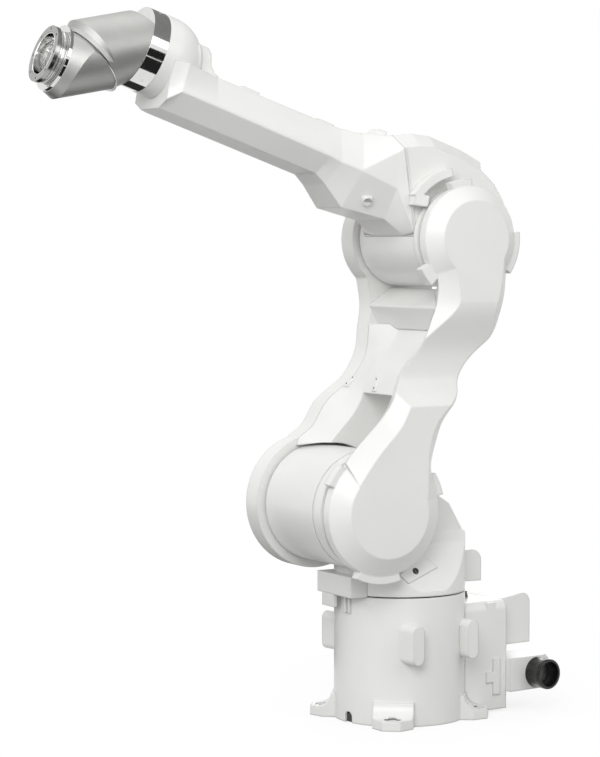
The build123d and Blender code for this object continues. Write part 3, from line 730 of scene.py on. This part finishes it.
@dataclass
class BaseDetail(Detail):
    """Small pieces on the base: a black block of painted shade in the notch, air couplings, gland,
    plug and cover screws.

    The room, lead and drop fields of the painted shade block say how much smaller it is than its
    notch, and how far it stands forward and down. cover_seat and cover_sink, added up, are how
    deep the cover's screws sit.
    """

    column_r: float = 0.140
    notch: Triple = (0.018, 0.022, 0.023)
    shade_block_room: Triple = (0.004, 0.001, 0.0015)
    shade_block_lead: float = 0.0005
    shade_block_drop: float = 0.0006
    shade_block_edge: float = 0.003
    fitting_x: float = -0.178
    fitting_pitch: float = 0.020
    fitting_z: float = 0.240
    nut_r: float = 0.0068
    nut_h: float = 0.0048
    coupling_outline: Profile = (
        (0.0022, 0.0), (0.0055, 0.0), (0.0055, 0.0072), (0.0046, 0.0080), (0.0046, 0.0112),
        (0.0052, 0.0116), (0.0052, 0.0126), (0.0046, 0.0130), (0.0022, 0.0130))
    collar_at: Triple = (-0.296, 0.112, 0.077)
    gland_outline: Profile = (
        (0.0262, 0.006), (0.0262, 0.0395), (0.0272, 0.0417), (0.0300, 0.0420), (0.0322, 0.0408),
        (0.0329, 0.0385), (0.0329, 0.0330), (0.0324, 0.0322), (0.0324, 0.0040), (0.0329, 0.0030),
        (0.0329, 0.0001), (0.0262, 0.0001))
    plug_outline: Profile = (
        (0.0, 0.0045), (0.0260, 0.0045), (0.0260, 0.0075), (0.0240, 0.0085), (0.0, 0.0085))
    cover_back: float = -0.305
    cover_screw: SocketScrew = SocketScrew(0.005, 0.0024, 0.0026)
    cover_screw_y: Pair = (-0.062, 0.062)
    cover_screw_z: Pair = (0.156, 0.212)
    cover_seat: float = 0.0012
    cover_sink: float = 0.0015

    def make_notch_shade_block(self) -> bpy.types.Object:
        """A black block in the notch of the column's foot, which paints the shade inside the
        notch.

        Returns:
            The block of painted shade.
        """
        deep, wide, high = (whole - room for whole, room in zip(self.notch, self.shade_block_room))
        middle = base_frame(self.column_r - self.notch[0] + deep / 2 + self.shade_block_lead, 0.0,
                            self.notch[2] / 2 - self.shade_block_drop)
        # Painted shade: a black block set in the notch where there is only shadow, not a real
        # lining.
        shade_block = self.start("notch_painted_shade").block((deep, wide, high), middle, self.shade_block_edge)
        return shade_block.hand_over(Carrier.BASE, Slot.BLACK)

    def make_couplings(self) -> bpy.types.Object:
        """The two air couplings, each a six-sided nut and a stepped sleeve.

        Returns:
            Both couplings as one piece.
        """
        fittings = self.start("air_couplings")
        for side in (-1, 1):
            foot = base_frame(self.fitting_x, side * self.fitting_pitch / 2, self.fitting_z)
            fittings.prism(sides=6, radius=self.nut_r, height=self.nut_h, place=foot)
            fittings.lathe(self.coupling_outline, foot, steps=32)
        couplings = fittings.hand_over(Carrier.BASE, Slot.DARK)
        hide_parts("air_fittings")
        return couplings

    def mouth(self) -> Matrix:
        """Frame at the foot of the conduit's collar, its z axis out of the mouth."""
        outward = Vector((-sin(BASE_TURN), cos(BASE_TURN), 0.0))
        return axes_frame(base_frame(*self.collar_at).translation, UP, outward)

    def make_gland(self) -> bpy.types.Object:
        """The open conduit gland with its rounded lip.

        Returns:
            The gland.
        """
        collar = self.start("conduit_gland").lathe(self.gland_outline, self.mouth(), steps=96)
        gland = collar.hand_over(Carrier.BASE, Slot.BLACK)
        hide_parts("conduit_collar")
        return gland

    def make_plug(self) -> bpy.types.Object:
        """The thin metal plug at the bottom of the gland."""
        plug = self.start("conduit_plug").lathe(self.plug_outline, self.mouth())
        return plug.hand_over(Carrier.BASE, Slot.SATIN)

    def make_cover_screws(self) -> bpy.types.Object:
        """The four screws in the back of the rear cover.

        Returns:
            The screws as one piece.
        """
        screws = self.start("rear_cover_screws")
        outward = Vector((-cos(BASE_TURN), -sin(BASE_TURN), 0.0))
        for y in self.cover_screw_y:
            for z in self.cover_screw_z:
                seat = base_frame(self.cover_back + self.cover_seat, y, z).translation
                foot = axes_frame(seat - outward * self.cover_sink, UP, outward)
                screws.screw(self.cover_screw, foot)
        return screws.hand_over(Carrier.BASE, Slot.DARK)

    def build(self) -> List[bpy.types.Object]:
        """Makes the base's pieces and returns them."""
        return [self.make_notch_shade_block(), self.make_couplings(), self.make_gland(), self.make_plug(),
                self.make_cover_screws()]


@dataclass
class SwivelDetail(Detail):
    """Seal at the turntable and the screw of the access panel.

    facet_low and facet_high are the sloped facet's ends as y and z, and screw_up is how
    far up the facet the screw is.
    """

    seal_z: float = 0.2701
    seal_outline: Profile = (
        (0.1350, 0.0), (0.1375, 0.0), (0.1381, 0.001), (0.1375, 0.0022), (0.1350, 0.0022))
    facet_low: Pair = (0.137, 0.282)
    facet_high: Pair = (0.088, 0.378)
    screw_x: float = 0.032
    screw_up: float = 0.047
    panel_t: float = 0.003
    panel_screw: SocketScrew = SocketScrew(0.0055, 0.0039, 0.0030, steps=32)
    washer_outline: Profile = ((0.0058, 0.0), (0.0072, 0.0), (0.0070, 0.0008), (0.0060, 0.0009))

    def facet_frame(self) -> Matrix:
        """Frame at the access panel's screw, its z axis out of the sloped facet.

        Returns:
            The frame as a matrix.
        """
        run, up = (high - low for low, high in zip(self.facet_low, self.facet_high))
        rise = Vector((0.0, run, up)).normalized()
        out = Vector((0.0, rise.z, -rise.y))
        foot = Vector((self.screw_x, *self.facet_low)) + rise * self.screw_up
        return axes_frame(foot + out * self.panel_t, AHEAD, out)

    def make_seal(self) -> bpy.types.Object:
        """The rubber seal between the column and the turret.

        Returns:
            The seal.
        """
        place = Matrix.Translation((0.0, 0.0, self.seal_z))
        seal = self.start("turntable_seal").lathe(self.seal_outline, place, steps=128)
        return seal.hand_over(Carrier.SWIVEL, Slot.BLACK)

    def make_screw(self) -> bpy.types.Object:
        """The access panel's socket screw on its washer.

        Returns:
            The screw and its washer as one piece.
        """
        head = self.start("panel_socket_screw").screw(self.panel_screw, self.facet_frame())
        head.lathe(self.washer_outline, self.facet_frame(), steps=32)
        screw = head.hand_over(Carrier.SWIVEL, Slot.DARK)
        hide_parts("panel_screw")
        return screw

    def build(self) -> List[bpy.types.Object]:
        """Makes the swivel's pieces and returns them."""
        return [self.make_seal(), self.make_screw()]


@dataclass(frozen=True)
class ScrewRing:
    """Screws evenly round a bearing cap, whose middle is given as x and z."""

    middle: Pair
    radius: float
    count: int
    start: float = 0.2

    def places(self, y: float) -> List[Vector]:
        """Where the screws stand.

        Args:
            y: their place across the arm.

        Returns:
            One place for each screw.
        """
        x, z = self.middle
        turns = [2 * pi * i / self.count + self.start for i in range(self.count)]
        return [Vector((x + self.radius * cos(a), y, z + self.radius * sin(a))) for a in turns]


@dataclass(frozen=True)
class ClampPad:
    """Place of a clamp pad on the web, and how far it looks up for each unit forwards."""

    x: float
    y: float
    lean: float


@dataclass
class LowerArmDetail(Detail):
    """Clamp pads on the web and the screws round the far side's caps.

    cap_seat is how deep the caps' screws sit, and stud_steps are the places of the
    screws along a pad.
    """

    cap_y: float = -0.188
    cap_seat: float = 0.0012
    cap_rings: Tuple[ScrewRing, ...] = (ScrewRing(SHOULDER_XZ, 0.074, 8),
                                        ScrewRing(ELBOW_XZ, 0.060, 6))
    cap_screw: SocketScrew = SocketScrew(0.0055, 0.0012, 0.0028)
    pad_z: float = 0.711
    pads: Tuple[ClampPad, ...] = (ClampPad(0.0510, -0.122, 1.20), ClampPad(0.0490, -0.015, 0.333))
    pad_size: Triple = (0.016, 0.034, 0.007)
    pad_edge: float = 0.0012
    stud: SocketScrew = SocketScrew(0.0018, 0.0009, 0.0009, steps=20)
    stud_steps: Pair = (-0.010, 0.010)
    stud_lift: float = 0.0035

    def make_cap_screws(self) -> bpy.types.Object:
        """The screws round the two bearing caps of the far side.

        Returns:
            The screws as one piece.
        """
        caps = self.start("far_cap_screws")
        for ring in self.cap_rings:
            for place in ring.places(self.cap_y + self.cap_seat):
                caps.screw(self.cap_screw, axes_frame(place, AHEAD, -NEAR))
        return caps.hand_over(Carrier.LOWER_ARM, Slot.DARK)

    def make_pads(self) -> List[bpy.types.Object]:
        """The two clamp pads on the web, and the screws in them.

        Returns:
            The pads and the screws.
        """
        pads = self.start("web_clamp_pads")
        studs = self.start("clamp_pad_screws")
        for pad in self.pads:
            place = axes_frame(Vector((pad.x, pad.y, self.pad_z)), NEAR,
                               Vector((1.0, 0.0, pad.lean)))
            pads.block(self.pad_size, place, self.pad_edge)
            for step in self.stud_steps:
                studs.screw(self.stud, place @ Matrix.Translation((0.0, step, self.stud_lift)))
        return [pads.hand_over(Carrier.LOWER_ARM, Slot.PAINT),
                studs.hand_over(Carrier.LOWER_ARM, Slot.DARK)]

    def build(self) -> List[bpy.types.Object]:
        """Makes the lower arm's pieces and returns them."""
        return [self.make_cap_screws(), *self.make_pads()]


@dataclass
class UpperArmDetail(Detail):
    """Boss on the forearm's near flank, which faces outwards and down."""

    boss_s: float = 0.216
    boss_h: float = 0.008
    boss_y: float = 0.0716
    boss_out: Triple = (0.858, -0.513, 0.0)
    boss_outline: Profile = (
        (0.0, -0.012), (0.0105, -0.012), (0.0105, 0.0064), (0.0094, 0.0075), (0.0, 0.0075))
    root_size: Triple = (0.0105, 0.0210, 0.0195)
    root_at: Triple = (0.00525, 0.0, -0.00225)
    root_edge: float = 0.0011

    def build(self) -> List[bpy.types.Object]:
        """Makes the boss, a round pin with a square root on one side.

        Returns:
            The boss alone.
        """
        place = arm_frame(self.boss_s, self.boss_h, self.boss_y)
        foot = axes_frame(place.translation, UP, place.to_3x3() @ Vector(self.boss_out))
        boss = self.start("flank_boss").lathe(self.boss_outline, foot, steps=48)
        boss.block(self.root_size, foot @ Matrix.Translation(self.root_at), self.root_edge)
        return [boss.hand_over(Carrier.UPPER_ARM, Slot.PAINT)]


@dataclass
class WristDetail(Detail):
    """Rings, screws and linings of the hollow wrist.

    A place that ends in _s is along the arm's line, and one that ends in _h above it.
    """

    ring_s: float = 0.749
    ring_len: float = 0.038
    ring_r: float = 0.083
    ring_share: float = 0.46
    ring_count: int = 6
    ring_start: float = radians(4.0)
    ring_seat: float = 0.0002
    ring_screw: SocketScrew = SocketScrew(0.0036, 0.0004, 0.0018)
    roll_h: float = 0.131
    flange_h: float = 0.04613
    neck_s: float = 0.933
    face_s: float = 0.963
    liner_outline: Profile = (
        (0.0448, -0.0225), (0.0448, -0.0008), (0.0438, 0.0), (0.0425, -0.0010), (0.0425, -0.0225))
    sleeve_outline: Profile = (
        (0.0468, -0.0300), (0.0468, 0.0060), (0.0445, 0.0065), (0.0435, -0.0300))
    plate_outline: Profile = (
        (0.0, -0.0130), (0.0430, -0.0130), (0.0430, -0.0105), (0.0300, -0.0085),
        (0.0140, -0.0085), (0.0120, -0.0105), (0.0, -0.0105))
    band_s: Pair = (0.9445, 0.9495)
    band_outline: Profile = (
        (0.0535, 0.0), (0.0554, 0.0), (0.0562, 0.0006), (0.0562, 0.0016), (0.0554, 0.0022),
        (0.0535, 0.0022))

    def make_ring_screws(self) -> bpy.types.Object:
        """The screws round the polished ring, flush with it.

        Returns:
            The screws as one piece.
        """
        ring = self.start("ring_screws")
        middle = arm_frame(self.ring_s + self.ring_len * self.ring_share, self.roll_h)
        turned = middle.to_3x3()
        for i in range(self.ring_count):
            a = 2 * pi * i / self.ring_count + self.ring_start
            out = (turned @ Vector((cos(a), sin(a), 0.0))).normalized()
            foot = middle.translation + out * (self.ring_r - self.ring_seat)
            ring.screw(self.ring_screw, axes_frame(foot, turned @ UP, out))
        return ring.hand_over(Carrier.WRIST_ROLL, Slot.POLISHED)

    def make_ring(self, name: str, outline: Profile, places: Sequence[float], carrier: Carrier,
                  steps: int = 96) -> bpy.types.Object:
        """Polished rings of one outline round the flange's axis.

        Args:
            name: the piece's name.
            outline: the rings' (radius, height) points.
            places: where the rings are along the arm's line.
            carrier: the body that they ride on.
            steps: how many flats go round.

        Returns:
            The rings as one piece.
        """
        rings = self.start(name)
        for s in places:
            rings.lathe(outline, arm_frame(s, self.flange_h), steps)
        return rings.hand_over(carrier, Slot.POLISHED)

    def build(self) -> List[bpy.types.Object]:
        """Makes the wrist's pieces.

        Returns:
            The pieces.
        """
        flange, bend = Carrier.TOOL_PLATE, Carrier.WRIST_BEND
        return [
            self.make_ring_screws(),
            self.make_ring("bore_liner", self.liner_outline, (self.face_s,), flange),
            self.make_ring("bore_sleeve", self.sleeve_outline, (self.neck_s,), bend),
            self.make_ring("bore_plate", self.plate_outline, (self.neck_s,), bend, steps=64),
            self.make_ring("flange_bands", self.band_outline, self.band_s, flange),
        ]


class CadDresser:
    """Gives the carried-over solids their finishes."""

    def __init__(self, finishes: Finishes) -> None:
        """Keeps the finishes, and those that single nodes get in place of their slot's."""
        self.finishes = finishes
        self.own = {"tool_flange": finishes.turned, "seam_ring": finishes.of(Slot.POLISHED)}

    def dress(self) -> None:
        """Sets each node's material from its slot in the record."""
        by_slot = {part["node"]: Slot(part["material_slot"])
                   for part in frame["record"]["subparts"]}
        for name, node in frame["nodes"].items():
            finish = self.own.get(name, self.finishes.of(by_slot[name]))
            node.data.materials.clear()
            node.data.materials.append(finish)
            LOG.info("node %s: %s", name, finish.name)


@dataclass(frozen=True)
class Lamp:
    """A soft square lamp: its name, place, side and power in watts."""

    name: str
    place: Triple
    size: float
    watts: float


@dataclass(frozen=True)
class Card:
    """A grey card: its name, middle, what it faces, width, height and brightness."""

    name: str
    place: Triple
    aim: Triple
    width: float
    height: float
    level: float


@dataclass
class Studio:
    """Floor, lights, reflection cards, world and camera."""

    camera_at: Triple = (2.7655, 4.5789, 1.0023)
    target: Triple = (0.1863, -0.1026, 0.7221)
    lens: float = 119.535
    sensor: float = 36.0
    far_clip: float = 60.0
    world_level: float = 0.63
    bounce_tone: Rgb = (0.36, 0.36, 0.36)
    floor_tone: Rgb = (0.95, 0.95, 0.95)
    floor_glow: float = 0.80
    floor_half: float = 12.0
    floor_z: float = -0.0005
    shadow_near: float = 0.40
    shadow_far: float = 1.3
    centre: Triple = (0.2, 0.0, 0.75)
    lamps: Tuple[Lamp, ...] = (
        Lamp("key_lamp", (3.2, 3.8, 3.5), 3.2, 148.0),
        Lamp("right_lamp", (-1.8, 4.2, 2.8), 2.4, 32.0),
        Lamp("side_lamp", (4.6, 0.4, 2.2), 2.4, 36.0),
        Lamp("top_lamp", (0.6, -0.6, 4.6), 3.6, 30.0),
        Lamp("back_lamp", (-3.4, -3.6, 2.4), 3.0, 60.0))
    cards: Tuple[Card, ...] = (
        Card("upper_card", (-1.95, -0.15, 3.1), (0.72, 0.0, 1.35), 9.0, 2.4, 0.26),
        Card("low_card", (0.35, 2.55, 0.64), (0.72, 0.0, 1.35), 3.0, 0.95, 0.02),
        Card("floor_card", (0.45, 1.56, 0.02), (0.45, 1.56, 1.0), 2.8, 1.78, 0.02),
        Card("far_card", (0.45, -1.75, 0.02), (0.45, -1.75, 1.0), 2.8, 2.3, 0.03))
    blind_rays: Tuple[str, ...] = ("camera", "diffuse", "shadow", "transmission", "volume_scatter")

    def floor(self) -> None:
        """A wide pale floor that shows white and keeps a soft shadow."""
        floor = put("studio_floor", flat_mesh("studio_floor", self.floor_half))
        floor.location = (0.0, 0.0, self.floor_z)
        web = NodeWeb.material("studio_floor")
        away = web.add("ShaderNodeVectorMath", {"operation": "LENGTH"}, {0: web.place})
        clear = web.ramp(away.outputs["Value"], self.shadow_near, self.shadow_far)
        colour = web.blend(web.seen, self.bounce_tone, self.floor_tone)
        matt = web.add("ShaderNodeBsdfDiffuse", None, {"Color": colour})
        share = web.seen * (self.floor_glow + (1.0 - self.floor_glow) * clear)
        mix = web.add("ShaderNodeMixShader", None,
                      {0: share, 1: matt.outputs[0], 2: web.glow(1.0).outputs[0]})
        floor.data.materials.append(web.end(mix))

    def world(self) -> None:
        """White behind the object, and an even soft level of light."""
        world = bpy.data.worlds.new("studio")
        bpy.context.scene.world = world
        web = NodeWeb(world)
        strength = self.world_level + (1.0 - self.world_level) * web.seen
        back = web.add("ShaderNodeBackground", None, {"Color": WHITE, "Strength": strength})
        web.end(back, "ShaderNodeOutputWorld")

    def hang(self, lamp: Lamp) -> None:
        """Hangs a lamp that points at the object's middle.

        Args:
            lamp: the lamp.
        """
        data = bpy.data.lights.new(lamp.name, "AREA")
        data.shape = "SQUARE"
        data.size = lamp.size
        data.energy = lamp.watts
        hung = put(lamp.name, data)
        hung.location = lamp.place
        hung.rotation_euler = facing(lamp.place, self.centre, "-Z")

    def set_up(self, sheet: Card) -> None:
        """Sets up a card that only polished metal sees.

        Args:
            sheet: the card.
        """
        card = put(sheet.name, flat_mesh(sheet.name, 0.5, (sheet.width, sheet.height, 1.0)))
        card.location = sheet.place
        card.rotation_euler = facing(sheet.place, sheet.aim, "Z")
        web = NodeWeb.material(sheet.name)
        card.data.materials.append(web.end(web.glow(sheet.level)))
        for ray in self.blind_rays:
            setattr(card, "visible_" + ray, False)

    def camera(self) -> None:
        """The camera at the photograph's place."""
        data = bpy.data.cameras.new("photo_camera")
        data.lens = self.lens
        data.sensor_width = self.sensor
        data.clip_end = self.far_clip
        camera = put("photo_camera", data)
        camera.location = self.camera_at
        camera.rotation_euler = facing(self.camera_at, self.target, "-Z")
        bpy.context.scene.camera = camera

    def build(self) -> None:
        """Sets the whole studio up."""
        bpy.context.scene.view_settings.view_transform = "Standard"
        self.floor()
        self.world()
        for lamp in self.lamps:
            self.hang(lamp)
        for sheet in self.cards:
            self.set_up(sheet)
        self.camera()


def main() -> None:
    """Builds the studio, dresses the solids and adds the small pieces."""
    logging.basicConfig(level=logging.INFO, format="%(name)s %(message)s")
    Studio().build()
    finishes = Finishes()
    CadDresser(finishes).dress()
    for detail in (BaseDetail, SwivelDetail, LowerArmDetail, UpperArmDetail, WristDetail):
        made = detail(finishes).build()
        LOG.info("%s: %d pieces", detail.__name__, len(made))


if __name__ == "__main__":
    main()
